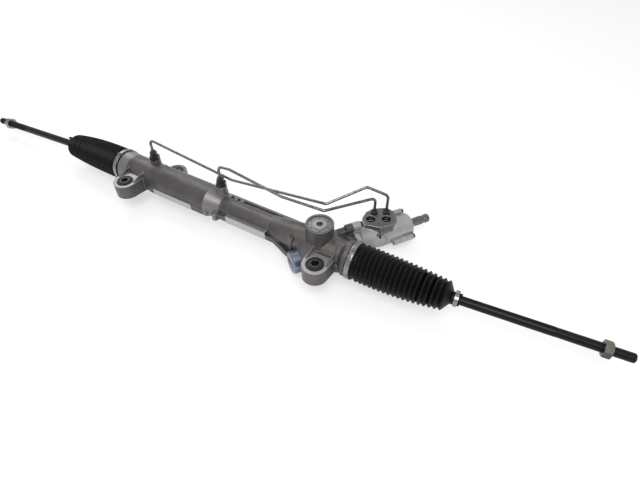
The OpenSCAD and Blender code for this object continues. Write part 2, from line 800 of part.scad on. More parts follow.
module shaft_seal() {
  color("black") ring_pinion(seal_s, seal_s + seal_w, cover_bore_r - seat_gap, input_neck_r + run_gap);
}

module snap_ring() {
  color("gray") difference() {
    ring_pinion(snap_s, snap_s + snap_w, cover_bore_r - seat_gap, cover_bore_r - 3);
    on_pinion() translate([0, -3, snap_s - 1]) cube([20, 6, snap_w + 2]);
  }
}

// Helical pinion. A flank is an involute down to the base circle and straight below it.
function inv(a) = tan(a) * 180 / PI - a;
function flank_half(r) = half_tooth + inv(side_angle) - (r > base_r ? inv(acos(base_r / r)) : 0);
flank_radii = [
  pinion_root_r, base_r, for (i = [1:4]) base_r + (pinion_tip_r - base_r) * i / 4,
];
function tooth_points(i) = let (mid = i * 360 / pinion_teeth - 90, last = len(flank_radii) - 1) [
  for (k = [0:last]) let (r = flank_radii[k], a = mid - flank_half(r)) r * [cos(a), sin(a)],
  for (k = [last:-1:0]) let (r = flank_radii[k], a = mid + flank_half(r)) r * [cos(a), sin(a)],
];

module pinion_toothing() {
  rotate([0, 0, pinion_twist / 2])
    linear_extrude(height = pinion_tooth_l, center = true, twist = pinion_twist, slices = 20)
      polygon([for (i = [0:pinion_teeth - 1]) each tooth_points(i)]);
}

module pinion_shaft() {
  journal_r = bearing_bore / 2 - seat_gap;
  half = pinion_tooth_l / 2;
  color("gray") difference() {
    union() {
      on_pinion() pinion_toothing();
      along_pinion(-half - 1, half + 1, pinion_root_r - 0.4);
      along_pinion(bearing_s - pinion_nut_l - 1, bearing_s + bearing_w, journal_r);
      along_pinion(bearing_s + bearing_w, -half, journal_r + 1.5);
      along_pinion(half, bush_s + bush_w + 2, neck_r);
      along_pinion(bush_s + bush_w + 2, pinion_top, input_low_r + 4);
    }
    along_pinion(torsion_low - 3, pinion_top + 1, torsion_end_r + run_gap);
    along_pinion(pinion_top - 16, pinion_top + 1, input_low_r + run_gap);
  }
}

module pinion_nut() {
  color("gray") difference() {
    on_pinion() translate([0, 0, bearing_s - pinion_nut_l]) hex_prism(24, pinion_nut_l);
    along_pinion(bearing_s - pinion_nut_l - 1, bearing_s + 1, bearing_bore / 2);
  }
}

// Rotary valve
ring_count = 4;
valve_ring_w = 2.4;
function valve_ring_s(i) = pinion_top + 5 + i * (sleeve_l - 12) / (ring_count - 1);

module valve_sleeve() {
  color("silver") difference() {
    ring_pinion(pinion_top, sleeve_top, sleeve_valve_d / 2, input_mid_r + run_gap);
    for (i = [0:ring_count - 1]) ring_pinion(
      valve_ring_s(i), valve_ring_s(i) + valve_ring_w + 0.2, sleeve_valve_d, sleeve_valve_d / 2 - 1.8
    );
    for (i = [0:ring_count - 2], a = [0:90:270]) on_pinion()
      translate([0, 0, valve_ring_s(i) + 8]) rotate([90, 0, a]) cylinder(h = sleeve_valve_d, r = 1.6);
  }
}

module sleeve_rings() {
  color("saddlebrown") for (i = [0:ring_count - 1]) ring_pinion(
    valve_ring_s(i) + 0.1, valve_ring_s(i) + 0.1 + valve_ring_w, sleeve_valve_d / 2 + run_gap,
    sleeve_valve_d / 2 - 1.8 + seat_gap
  );
}

module input_shaft() {
  land = sleeve_top + 4;
  color("gray") difference() {
    union() {
      along_pinion(pinion_top - 15, pinion_top + 0.5, input_low_r);
      along_pinion(pinion_top + 0.5, land, input_mid_r);
      along_pinion(land, cover_start + cover_l + 2, input_neck_r);
      along_pinion(cover_start + cover_l + 2, input_tip - 1.5, input_d / 2);
      along_pinion(input_tip - 1.5, input_tip, input_d / 2, input_d / 2 - 1.5);
    }
    along_pinion(pinion_top - 16, torsion_high + 2, torsion_end_r + run_gap);
    // Metering grooves of the valve
    for (a = [0:60:300]) on_pinion() rotate([0, 0, a])
      translate([input_mid_r + 1, 0, pinion_top + 8]) cylinder(h = sleeve_l - 16, r = 2);
    // Pinch bolt groove
    on_pinion() translate([0, 0, input_tip - 12]) rotate_extrude()
      translate([input_d / 2 + 1.4, 0]) circle(r = 2.4);
    on_pinion() translate([0, 0, torsion_high - 6]) rotate([90, 0, 0])
      cylinder(h = 3 * input_neck_r, r = pin_r + seat_gap, center = true);
  }
}

module torsion_bar() {
  color("gray") difference() {
    union() {
      along_pinion(torsion_low, torsion_high, torsion_r);
      along_pinion(torsion_low, torsion_low + 12, torsion_end_r - seat_gap);
      along_pinion(torsion_high - 12, torsion_high, torsion_end_r);
    }
    on_pinion() translate([0, 0, torsion_high - 6]) rotate([90, 0, 0])
      cylinder(h = 3 * torsion_r, r = pin_r + seat_gap, center = true);
  }
}

module torsion_pins() {
  color("silver") on_pinion() translate([0, 0, torsion_high - 6]) rotate([90, 0, 0])
    cylinder(h = 2 * input_neck_r - 2, r = pin_r, center = true);
}

// Rack with its trapezoid tooth spaces
module rack_tooth_spaces() {
  pitch = PI * tooth_module;
  count = ceil(rack_tooth_reach * cos(rack_tooth_angle) / pitch);
  half = (pitch / 2 + backlash) / 2;
  up = pinion_addendum + root_gap;
  down = rack_addendum + 2;
  slope = tan(pressure_angle);
  for (k = [-count:count])
    translate([k * pitch / cos(rack_tooth_angle), 0, -tooth_line]) rotate([90, 0, -rack_tooth_angle])
      linear_extrude(height = 1.6 * rack_d, center = true) polygon([
        [-half - slope * down, -down], [half + slope * down, -down],
        [half - slope * up, up], [-half + slope * up, up],
      ]);
}

module rack_bar() {
  flat_l = 2 * rack_tooth_reach;
  rack_left = left_ball + socket_back;
  rack_right = right_ball - socket_back;
  color("silver") difference() {
    along_x(rack_left, rack_right, rack_d / 2);
    along_x(rack_left - 1, rack_left + stud_l + 2, stud_r + seat_gap);
    along_x(rack_right - stud_l - 2, rack_right + 1, stud_r + seat_gap);
    translate([-flat_l / 2, -rack_d, -tooth_line - rack_addendum - rack_d])
      cube([flat_l, 2 * rack_d, rack_d]);
    rack_tooth_spaces();
  }
}

module piston() {
  color("gray") difference() {
    ring_x(
      piston_x - piston_w / 2, piston_x + piston_w / 2, cyl_bore / 2 - 0.6, rack_d / 2 + seat_gap
    );
    ring_x(piston_x - 3, piston_x + 3, cyl_bore, cyl_bore / 2 - 3.5);
  }
}

module piston_ring() {
  color("saddlebrown") ring_x(
    piston_x - 2.9, piston_x + 2.9, cyl_bore / 2 - run_gap, cyl_bore / 2 - 3.5 + seat_gap
  );
}

// Inner ball joint, drawn for the right end with the ball at the origin and the rod towards +X
seat_r = ball_d / 2 + 2.4;
socket_cavity_r = seat_r + run_gap;
socket_mouth = 12.5;
seat_edge = 56;
stud_r = 8;
stud_l = 16;
washer_t = 1.5;

module ball_socket() {
  color("dimgray") difference() {
    union() {
      along_x(-socket_back + washer_t, socket_mouth, socket_d / 2);
      along_x(-socket_back - stud_l, -socket_back + washer_t + 1, stud_r);
    }
    rotate([0, 90, 0]) sphere(r = socket_cavity_r);
    along_x(6, socket_mouth + 1, socket_cavity_r - 3.2, socket_cavity_r + 1.6);
    // Spanner flats
    for (side = [-1, 1]) translate([-3, side * (socket_d / 2 + 3), 0]) cube([12, 10, 30], center = true);
  }
}

module lock_washer() {
  color("silver") difference() {
    along_x(-socket_back, -socket_back + washer_t, socket_d / 2 - 2);
    along_x(-socket_back - 1, -socket_back + washer_t + 1, stud_r + seat_gap);
  }
}

module ball_seat() {
  mouth = seat_r * cos(seat_edge);
  color("ivory") difference() {
    rotate([0, 90, 0]) sphere(r = seat_r);
    rotate([0, 90, 0]) sphere(r = ball_d / 2 + run_gap);
    along_x(mouth, seat_r + 1, seat_r + 1);
    along_x(-seat_r - 1, -mouth, seat_r + 1);
  }
}

module tie_rod(l) {
  thread_start = l - thread_l;
  nut_face = l - nut_place + nut_h / 2 + 1;
  tip_r = (thread_d - thread_step) / 2;
  chamfer = 1.2;
  color("black") union() {
    rotate([0, 90, 0]) sphere(r = ball_d / 2);
    along_x(0, ball_d / 2 + 6, tie_rod_d / 2 - 0.6);
    along_x(ball_d / 2 + 4, thread_start, tie_rod_d / 2);
    along_x(thread_start, nut_face, thread_d / 2);
    along_x(nut_face, l - chamfer, tip_r);
    along_x(l - chamfer, l, tip_r, tip_r - chamfer);
  }
}

module lock_nut(l) {
  place = l - nut_place;
  color("darkkhaki") difference() {
    intersection() {
      translate([place - nut_h / 2, 0, 0]) rotate([0, 90, 0]) hex_prism(nut_af, nut_h);
      union() {
        along_x(place - nut_h / 2, place, nut_af / 2, nut_af / 2 + nut_h);
        along_x(place, place + nut_h / 2, nut_af / 2 + nut_h, nut_af / 2);
      }
    }
    along_x(place - nut_h, place + nut_h, thread_d / 2 + seat_gap);
  }
}

// Boot, drawn for the right end from its shoulder at x = 0 towards +X.
// Its axis bends from the rack's to the tie rod's, whose slopes along Y and Z are given.
boot_sides = 20;
cuff_r = (seat_d / 2 + seat_gap) / cos(180 / boot_sides);
cuff_out_r = cuff_r + 2;
small_cuff_r = tie_rod_d / 2 + free_gap;
small_cuff_out_r = small_cuff_r + 2.6;
cone_end = boot_l - small_cuff_l;
fold_start = cuff_l + 3;
fold_end = cone_end - 6;
fold_pitch = (fold_end - fold_start) / boot_folds;

// Sideways path of the boot's axis for a unit slope of the tie rod
function bend_at(u) = let (reach = cone_end, e = (reach - ball_reach) / reach, t = u / reach)
  u > reach ? u - ball_reach : reach * ((3 * e - 1) * t * t + (1 - 2 * e) * t * t * t);

function fold_r(k) = (boot_d + (boot_end_d - boot_d) * pow(k / (boot_folds - 1), 2.5)) / 2;

// Places and radii along the outside of a boot
function boot_outside() = [
  [0.2, cuff_out_r], [cuff_l - 2.5, cuff_out_r], [cuff_l - 1, cuff_out_r - 1.2],
  for (k = [0:boot_folds - 1]) let (u = fold_start + k * fold_pitch, r = fold_r(k)) each [
    [u + 0.08 * fold_pitch, r - fold_depth], [u + 0.42 * fold_pitch, r],
    [u + 0.66 * fold_pitch, r],
  ],
  [cone_end, small_cuff_out_r], [boot_l, small_cuff_out_r],
];

// Places and radii along its inside, from the tie rod back to the shoulder
function boot_inside() = [
  [boot_l, small_cuff_r], [cone_end, small_cuff_r],
  for (k = [boot_folds - 1:-1:0]) let (u = fold_start + k * fold_pitch, r = fold_r(k)) each [
    [u + 0.54 * fold_pitch, r - boot_wall],
    [u + 0.08 * fold_pitch, r - fold_depth - boot_wall],
  ],
  [cuff_l - 1, cuff_r - 1], [cuff_l - 2.5, cuff_r], [0.2, cuff_r],
];

module boot(slope_y, slope_z) {
  path = concat(boot_outside(), boot_inside());
  rings = len(path);
  pts = [
    for (q = path, j = [0:boot_sides - 1]) let (a = j * 360 / boot_sides, b = bend_at(q[0]))
      [q[0], slope_y * b + q[1] * cos(a), slope_z * b + q[1] * sin(a)],
  ];
  faces = [
    for (i = [0:rings - 1], j = [0:boot_sides - 1])
      let (n = (i + 1) % rings, k = (j + 1) % boot_sides, w = boot_sides) each [
        [i * w + j, i * w + k, n * w + k],
        [i * w + j, n * w + k, n * w + j],
      ],
  ];
  color([0.06, 0.06, 0.07]) polyhedron(points = pts, faces = faces);
}

// Wide band clamp on the boot's cuff, with its ear and screw
module band_clamp() {
  from = (cuff_l - band_w) / 2 - 1;
  band_r = cuff_out_r + seat_gap;
  color("silver") {
    ring_x(from, from + band_w, band_r + 0.9, band_r);
    translate([from, -5, -band_r - 5]) difference() {
      cube([band_w, 10, 5]);
      translate([band_w / 2, 11, 2]) rotate([90, 0, 0]) cylinder(h = 12, r = 1.6);
    }
  }
}

// Spring clamp of round wire on the small cuff, drawn on the tie rod, with its two tabs
module spring_clamp() {
  at = cone_end - ball_reach + small_cuff_l / 2;
  clamp_r = small_cuff_out_r + free_gap;
  color("silver") {
    ring_x(at - 3, at + 3, clamp_r + 1, clamp_r);
    for (side = [-1, 1]) translate([at - 3 + side * 1.5, -2, 0]) {
      translate([1.5, 0, clamp_r]) cube([3, 4, 7]);
      translate([1.5, 0, -clamp_r - 6]) cube([3, 4, 6]);
    }
  }
}

// Places of the two ends
module right_end() {
  translate([right_ball, 0, 0]) children();
}

module left_end() {
  translate([left_ball, 0, 0]) mirror([1, 0, 0]) children();
}

module right_rod_end() {
  right_end() rotate([0, 0, right_toe]) rotate([0, right_droop, 0]) children();
}

module left_rod_end() {
  left_end() rotate([0, 0, -left_toe]) rotate([0, left_droop, 0]) children();
}

module right_boot() {
  translate([shoulder_x, 0, 0])
    boot(tan(right_toe), -tan(right_droop) / cos(right_toe));
}

module left_boot() {
  translate([left_x, 0, 0]) mirror([1, 0, 0])
    boot(-tan(left_toe), -tan(left_droop) / cos(left_toe));
}

// Steel pipes: straight tubes joined by round bends, from a list of corner points.
// The bends swell by a hair, and the straight tubes reach a little way into them.
bend_swell = 0.06;
bend_lap = 0.5;
function unit(v) = v / norm(v);

module straight(a, b) {
  v = b - a;
  translate(a) rotate([0, acos(v[2] / norm(v)), atan2(v[1], v[0])])
    cylinder(h = norm(v), d = pipe_d);
}

module bend(p, q, s) {
  u = unit(q - p);
  v = unit(s - q);
  turn = acos(u * v);
  away = unit(v - (u * v) * u);
  side = cross(u, -away);
  start = q - u * pipe_bend * tan(turn / 2);
  c = start + away * pipe_bend;
  multmatrix([
    [-away[0], u[0], -side[0], c[0]],
    [-away[1], u[1], -side[1], c[1]],
    [-away[2], u[2], -side[2], c[2]],
    [0, 0, 0, 1],
  ]) rotate_extrude(angle = turn) translate([pipe_bend, 0]) circle(d = pipe_d + 2 * bend_swell);
}

function trim(p, q, s) = pipe_bend * tan(acos(unit(q - p) * unit(s - q)) / 2);

module pipe(pts) {
  last = len(pts) - 1;
  for (i = [0:last - 1]) {
    a = pts[i];
    b = pts[i + 1];
    u = unit(b - a);
    straight(
      i == 0 ? a : a + u * (trim(pts[i - 1], a, b) - bend_lap),
      i == last - 1 ? b : b - u * (trim(a, b, pts[i + 2]) - bend_lap)
    );
  }
  for (i = [1:last - 1]) bend(pts[i - 1], pts[i], pts[i + 1]);
}

// Turns a place in the pinion's plan into a place from the tower
function from_plan(p, z) = [
  p[0] * cos(shaft_angle) + p[1] * sin(shaft_angle),
  -p[0] * sin(shaft_angle) + p[1] * cos(shaft_angle), z,
];

// How deep a tube nut reaches into its hole
nut_in = 8;

module long_pipe() {
  color("slategray") pipe(concat(
    [[far_port, boss_y, boss_h - nut_in + 1], [far_port, boss_y, far_corner_z]], LONG_PIPE_CORNERS,
    [from_plan(long_pipe_in, block_corner_z[0]), from_plan(long_pipe_in, block_top - nut_in + 1)]
  ));
}

module short_pipe() {
  color("slategray") pipe(concat(
    [[near_port, boss_y, boss_h - nut_in + 1], [near_port, boss_y, near_corner_z]], SHORT_PIPE_CORNERS,
    [from_plan(short_pipe_in, block_corner_z[1]), from_plan(short_pipe_in, block_top - nut_in + 1)]
  ));
}

module tube_nut(flats, h) {
  difference() {
    union() {
      translate([0, 0, -nut_in]) cylinder(h = nut_in + 1, r = 4 - seat_gap);
      hex_prism(flats, 0.7 * h);
      cylinder(h = h, r = flats / 2 - 2);
    }
    translate([0, 0, -nut_in - 1]) cylinder(h = h + nut_in + 2, d = pipe_d + 2 * seat_gap);
  }
}

// Fitting screwed into a port boss, with the tube nut on it
module boss_fitting(h) {
  difference() {
    union() {
      translate([0, 0, -nut_in]) cylinder(h = nut_in + 1, r = 4 - seat_gap);
      hex_prism(boss_nut_af, 0.4 * h);
      cylinder(h = 0.5 * h, r = 5.5);
      translate([0, 0, 0.5 * h]) hex_prism(block_nut_af, 0.35 * h);
      cylinder(h = h, r = 4.4);
    }
    translate([0, 0, -nut_in - 1]) cylinder(h = h + nut_in + 2, d = pipe_d + 2 * seat_gap);
  }
}

module tube_nuts() {
  color("dimgray") {
    for (x = [far_port, near_port]) translate([x, boss_y, boss_h]) boss_fitting(boss_nut_h);
    for (p = [short_pipe_in, long_pipe_in]) translate(from_plan(p, block_top))
      tube_nut(block_nut_af, block_nut_h);
  }
}

module left_band_clamp() { translate([left_x, 0, 0]) mirror([1, 0, 0]) band_clamp(); }
module right_band_clamp() { translate([shoulder_x, 0, 0]) band_clamp(); }
module left_ball_socket() { left_end() ball_socket(); }
module right_ball_socket() { right_end() ball_socket(); }
module left_lock_washer() { left_end() lock_washer(); }
module right_lock_washer() { right_end() lock_washer(); }
module left_ball_seat() { left_end() rotate([0, 0, -left_toe]) ball_seat(); }
module right_ball_seat() { right_end() rotate([0, 0, right_toe]) ball_seat(); }
module left_tie_rod() { left_rod_end() tie_rod(tie_rod_l + left_rod_extra); }
module right_tie_rod() { right_rod_end() tie_rod(tie_rod_l); }
module left_lock_nut() { left_rod_end() lock_nut(tie_rod_l + left_rod_extra); }
module right_lock_nut() { right_rod_end() lock_nut(tie_rod_l); }
module left_spring_clamp() { left_rod_end() spring_clamp(); }
module right_spring_clamp() { right_rod_end() spring_clamp(); }

// Shifts the part, so that its origin is the centre of the right mounting bush
module placed() {
  translate([-lug_x, lug_y, 0]) children();
}

placed() main_housing();
placed() valve_housing();
placed() valve_cover();
placed() cover_screws();
placed() valve_bolts();
placed() pinion_cap();
placed() case_plug();
placed() end_bushing();
placed() bushing_ring();
placed() outer_rack_seal();
placed() inner_rack_seal();
placed() support_yoke();
placed() yoke_pad();
placed() yoke_spring();
placed() adjuster_plug();
placed() plug_lock_ring();
placed() mount_bushes();
placed() bush_sleeves();
placed() bearing_outer_race();
placed() pinion_bush();
placed() input_bearing();
placed() shaft_seal();
placed() snap_ring();
placed() long_pipe();
placed() short_pipe();
placed() tube_nuts();
placed() left_boot();
placed() right_boot();
placed() left_band_clamp();
placed() right_band_clamp();
placed() rack_bar();
placed() piston();
placed() piston_ring();
placed() left_ball_socket();
placed() right_ball_socket();
placed() left_lock_washer();
placed() right_lock_washer();
placed() pinion_shaft();
placed() bearing_inner_race();
placed() bearing_balls();
placed() pinion_nut();
placed() valve_sleeve();
placed() sleeve_rings();
placed() input_shaft();
placed() torsion_bar();
placed() torsion_pins();
placed() left_ball_seat();
placed() right_ball_seat();
placed() left_tie_rod();
placed() right_tie_rod();
placed() left_lock_nut();
placed() right_lock_nut();
placed() left_spring_clamp();
placed() right_spring_clamp();
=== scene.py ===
import json
import math

import bpy
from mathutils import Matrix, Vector


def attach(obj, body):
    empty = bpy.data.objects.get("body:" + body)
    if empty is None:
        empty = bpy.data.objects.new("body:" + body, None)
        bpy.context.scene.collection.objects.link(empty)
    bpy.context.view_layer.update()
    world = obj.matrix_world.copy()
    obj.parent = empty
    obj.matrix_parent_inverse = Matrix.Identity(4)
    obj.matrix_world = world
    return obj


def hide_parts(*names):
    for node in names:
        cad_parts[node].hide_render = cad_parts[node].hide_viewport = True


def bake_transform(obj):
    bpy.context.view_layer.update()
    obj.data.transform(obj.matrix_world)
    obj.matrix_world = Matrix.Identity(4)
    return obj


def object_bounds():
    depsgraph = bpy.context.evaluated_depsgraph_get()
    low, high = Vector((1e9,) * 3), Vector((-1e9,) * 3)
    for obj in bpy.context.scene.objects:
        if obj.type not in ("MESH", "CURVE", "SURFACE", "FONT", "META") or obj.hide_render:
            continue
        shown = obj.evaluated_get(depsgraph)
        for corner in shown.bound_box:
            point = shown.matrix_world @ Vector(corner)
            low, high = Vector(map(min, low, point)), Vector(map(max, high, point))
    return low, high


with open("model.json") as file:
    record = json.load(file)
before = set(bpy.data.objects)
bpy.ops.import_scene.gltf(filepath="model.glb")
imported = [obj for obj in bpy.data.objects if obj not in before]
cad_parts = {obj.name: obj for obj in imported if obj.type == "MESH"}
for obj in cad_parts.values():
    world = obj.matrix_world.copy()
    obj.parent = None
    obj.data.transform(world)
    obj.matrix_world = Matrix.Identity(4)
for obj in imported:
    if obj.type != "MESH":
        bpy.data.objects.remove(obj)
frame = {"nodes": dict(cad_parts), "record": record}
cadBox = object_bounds()
print("frame loaded,", len(frame["nodes"]), "nodes")

mm = 0.001
# places of the CAD model that several pieces share, in mm
rackY = 50  # the rack's axis, which runs along X at height 0
towerX = -20.5
pinionZ = -18.14
pinionTurn = math.radians(35)  # from the square of the rack to the pinion's axis


def hexColour(text):
    # sRGB hex to the linear colour that the shaders take
    parts = [int(text[i:i + 2], 16) / 255 for i in (1, 3, 5)]
    return tuple(c / 12.92 if c <= 0.04045 else ((c + 0.055) / 1.055) ** 2.4 for c in parts) + (1,)


def addNode(material, kind, values=None, links=None, **settings):
    # values are socket defaults, links are socket: (node, output), settings are the node's own
    made = material.node_tree.nodes.new(kind)
    for name, value in settings.items():
        setattr(made, name, value)
    for name, value in (values or {}).items():
        made.inputs[name].default_value = value
    for name, (source, output) in (links or {}).items():
        material.node_tree.links.new(source.outputs[output], made.inputs[name])
    return made


def newMaterial(name):
    material = bpy.data.materials.new(name)
    material.use_nodes = True
    return material, material.node_tree.nodes["Principled BSDF"]


def feed(material, source, output, target, socket):
    material.node_tree.links.new(source.outputs[output], target.inputs[socket])


def insideBox(material, place, low, high, turned):
    # 1 inside a box given in mm, 0 outside; a turned box lies along the pinion, from the tower's axis
    middle = [(a + b) / 2 * mm for a, b in zip(low, high)]
    half = [(b - a) / 2 * mm for a, b in zip(low, high)]
    point = (place, "Object")
    if turned:
        tower = (towerX * mm, rackY * mm, 0)
        away = addNode(material, "ShaderNodeVectorMath", {1: tower}, {0: point}, operation="SUBTRACT")
        along = addNode(material, "ShaderNodeVectorRotate", {"Angle": pinionTurn},
                        {"Vector": (away, "Vector")}, rotation_type="Z_AXIS")
        point = (along, "Vector")
    away = addNode(material, "ShaderNodeVectorMath", {1: middle}, {0: point}, operation="SUBTRACT")
    away = addNode(material, "ShaderNodeVectorMath", None, {0: (away, "Vector")}, operation="ABSOLUTE")
    away = addNode(material, "ShaderNodeVectorMath", {1: half}, {0: (away, "Vector")},
                   operation="SUBTRACT")
    axes = addNode(material, "ShaderNodeSeparateXYZ", None, {"Vector": (away, "Vector")})
    most = addNode(material, "ShaderNodeMath", None, {0: (axes, "X"), 1: (axes, "Y")},
                   operation="MAXIMUM")
    most = addNode(material, "ShaderNodeMath", None, {0: (most, "Value"), 1: (axes, "Z")},
                   operation="MAXIMUM")
    return addNode(material, "ShaderNodeMath", {1: 0}, {0: (most, "Value")}, operation="LESS_THAN")


# edges are brightened for rubbed wear and for a painted highlight: how far this reaches and how strongly it
# shows
edgeWearAndHighlight = {
    "casting": {"radius": 1.3, "share": 0.75},  # mm, and how much of the bright colour shows
    "turned": {"radius": 0.5, "share": 0.6},
    "samples": 6,
    "starts": 0.99,  # cosine between the rounded and the flat normal
    "full": 0.86,
}


def rubbedAndHighlightedEdges(material, colour, wear, edgeHighlightColour):
    # where the rounded normal leaves the flat one there is an edge, rubbed bright and drawn with a painted
    # highlight
    rounded = addNode(material, "ShaderNodeBevel", {"Radius": wear["radius"] * mm},
                      samples=edgeWearAndHighlight["samples"])
    flat = addNode(material, "ShaderNodeNewGeometry")
    turn = addNode(material, "ShaderNodeVectorMath", None,
                   {0: (rounded, "Normal"), 1: (flat, "Normal")}, operation="DOT_PRODUCT")
    rubAndHighlight = addNode(material, "ShaderNodeMapRange",
                  {"From Min": edgeWearAndHighlight["starts"], "From Max": edgeWearAndHighlight["full"], "To Max": wear["share"]},
                  {"Value": (turn, "Value")})
    colour = addNode(material, "ShaderNodeMix", {"B": hexColour(edgeHighlightColour)},
                     {"Factor": (rubAndHighlight, "Result"), "A": (colour, "Result")}, data_type="RGBA")
    return colour, rounded


# sizes of the patterns and heights of the relief, in mm; grainShare is the share of a casting's fine
# grain in its tone, beside the clouds
pattern = {
    "castCloud": 38,
    "castRelief": 0.3,
    "grainShare": 0.35,
    "turnedRelief": 0.1,
    "rubberBloom": 9,
    "rubberRelief": 0.2,
}


def castMetal(name, dark, light, edge, metallic, roughness, grainMm, bump, patches=()):
    # sand-blasted die casting: fine even grain, faint cloudy patches from the mould, edges rubbed bright with
    # a painted highlight
    material, shader = newMaterial(name)
    place = addNode(material, "ShaderNodeTexCoord")
    grain = addNode(material, "ShaderNodeTexNoise", {"Scale": 1 / (grainMm * mm), "Detail": 3},
                    {"Vector": (place, "Object")})
    cloud = addNode(material, "ShaderNodeTexNoise", {"Scale": 1 / (pattern["castCloud"] * mm), "Detail": 4},
                    {"Vector": (place, "Object")})
    both = addNode(material, "ShaderNodeMath", {1: pattern["grainShare"]}, {0: (grain, "Fac")},
                   operation="MULTIPLY")
    both = addNode(material, "ShaderNodeMath", None, {0: (cloud, "Fac"), 1: (both, "Value")},
                   operation="ADD")
    tone = addNode(material, "ShaderNodeMapRange", {"From Min": 0.45, "From Max": 0.9},
                   {"Value": (both, "Value")})
    colour = addNode(material, "ShaderNodeMix", {"A": hexColour(dark), "B": hexColour(light)},
                     {"Factor": (tone, "Result")}, data_type="RGBA")
    for low, high, patch, turned in patches:
        inside = insideBox(material, place, low, high, turned)
        colour = addNode(material, "ShaderNodeMix", {"B": hexColour(patch)},
                         {"Factor": (inside, "Value"), "A": (colour, "Result")}, data_type="RGBA")
    colour, rounded = rubbedAndHighlightedEdges(material, colour, edgeWearAndHighlight["casting"], edge)
    relief = addNode(material, "ShaderNodeBump",
                     {"Strength": bump, "Distance": pattern["castRelief"] * mm},
                     {"Height": (grain, "Fac"), "Normal": (rounded, "Normal")})
    feed(material, colour, "Result", shader, "Base Color")
    feed(material, relief, "Normal", shader, "Normal")
    shader.inputs["Metallic"].default_value = metallic
    shader.inputs["Roughness"].default_value = roughness
    return material


def turnedMetal(name, dark, light, edge, metallic, roughness, markMm, bump, shine=0.5):
    # turned or drawn steel: fine streaks, slightly uneven tone, edges rubbed bright with a painted highlight
    material, shader = newMaterial(name)
    place = addNode(material, "ShaderNodeTexCoord")
    streak = addNode(material, "ShaderNodeTexNoise", {"Scale": 1 / (markMm * mm), "Detail": 2},
                     {"Vector": (place, "Object")})
    tone = addNode(material, "ShaderNodeMapRange", {"From Min": 0.35, "From Max": 0.65},
                   {"Value": (streak, "Fac")})
    colour = addNode(material, "ShaderNodeMix", {"A": hexColour(dark), "B": hexColour(light)},
                     {"Factor": (tone, "Result")}, data_type="RGBA")
    colour, rounded = rubbedAndHighlightedEdges(material, colour, edgeWearAndHighlight["turned"], edge)
    relief = addNode(material, "ShaderNodeBump",
                     {"Strength": bump, "Distance": pattern["turnedRelief"] * mm},
                     {"Height": (streak, "Fac"), "Normal": (rounded, "Normal")})
    feed(material, colour, "Result", shader, "Base Color")
    feed(material, relief, "Normal", shader, "Normal")
    shader.inputs["Metallic"].default_value = metallic
    shader.inputs["Roughness"].default_value = roughness
    shader.inputs["Specular IOR Level"].default_value = shine
    return material


def mouldedRubber(name, dark, light, roughness, bump, shine=0.5):
    # moulded rubber: near black, a soft sheen with a dusty bloom
    material, shader = newMaterial(name)
    place = addNode(material, "ShaderNodeTexCoord")
    bloom = addNode(material, "ShaderNodeTexNoise", {"Scale": 1 / (pattern["rubberBloom"] * mm), "Detail": 5},
                    {"Vector": (place, "Object")})
    colour = addNode(material, "ShaderNodeMix", {"A": hexColour(dark), "B": hexColour(light)},
                     {"Factor": (bloom, "Fac")}, data_type="RGBA")
    relief = addNode(material, "ShaderNodeBump",
                     {"Strength": bump, "Distance": pattern["rubberRelief"] * mm},
                     {"Height": (bloom, "Fac")})
    feed(material, colour, "Result", shader, "Base Color")
    feed(material, relief, "Normal", shader, "Normal")
    shader.inputs["Roughness"].default_value = roughness
    shader.inputs["Specular IOR Level"].default_value = shine
    return material


# boxes in mm that hold the castings' machined faces, shaded faces and holes drawn dark with painted shade:
# two corners, the colour, and whether the box lies along the pinion
castingPatches = {
    "housing": [
        ((-467, 0, -40), (-444.6, 100, 40), "#737170", False),  # turned collar beside the left boot
        ((-249.5, 0, -40), (-221.5, 100, 40), "#737170", False),  # cone between cylinder and tube
        ((-117, 0, -24), (-115.6, 100, 24), "#838180", False),  # step where the gear housing begins
        ((-371, 18, -11), (-275, 18.6, 3), "#a9a9ac", False),  # pad on the cylinder
        ((-201, 24, -12), (-113, 24.6, 5), "#a9a9ac", False),  # pad on the tube
        ((-22, -22, 13.2), (22, 22, 13.8), "#8f8e8c", False),  # faces of the two front lugs
        ((-442, -22, 13.2), (-398, 22, 13.8), "#8f8e8c", False),
    ],
    "valve": [
        ((-34, 84, 4.9), (17.4, 150, 12.3), "#636264", True),  # port block above the barrel
        ((13.5, 100, -28), (17.4, 133, 12.2), "#636264", True),  # its front face
        # painted shade: these two boxes draw the hose port bores nearly black inside
        ((20.3, 132.2, -6), (37.4, 149.2, 11.6), "#0c0c0c", False),  # the two hose ports
        ((43.5, 145.8, -6), (60.6, 162.8, 11.6), "#0c0c0c", False),
    ],
}
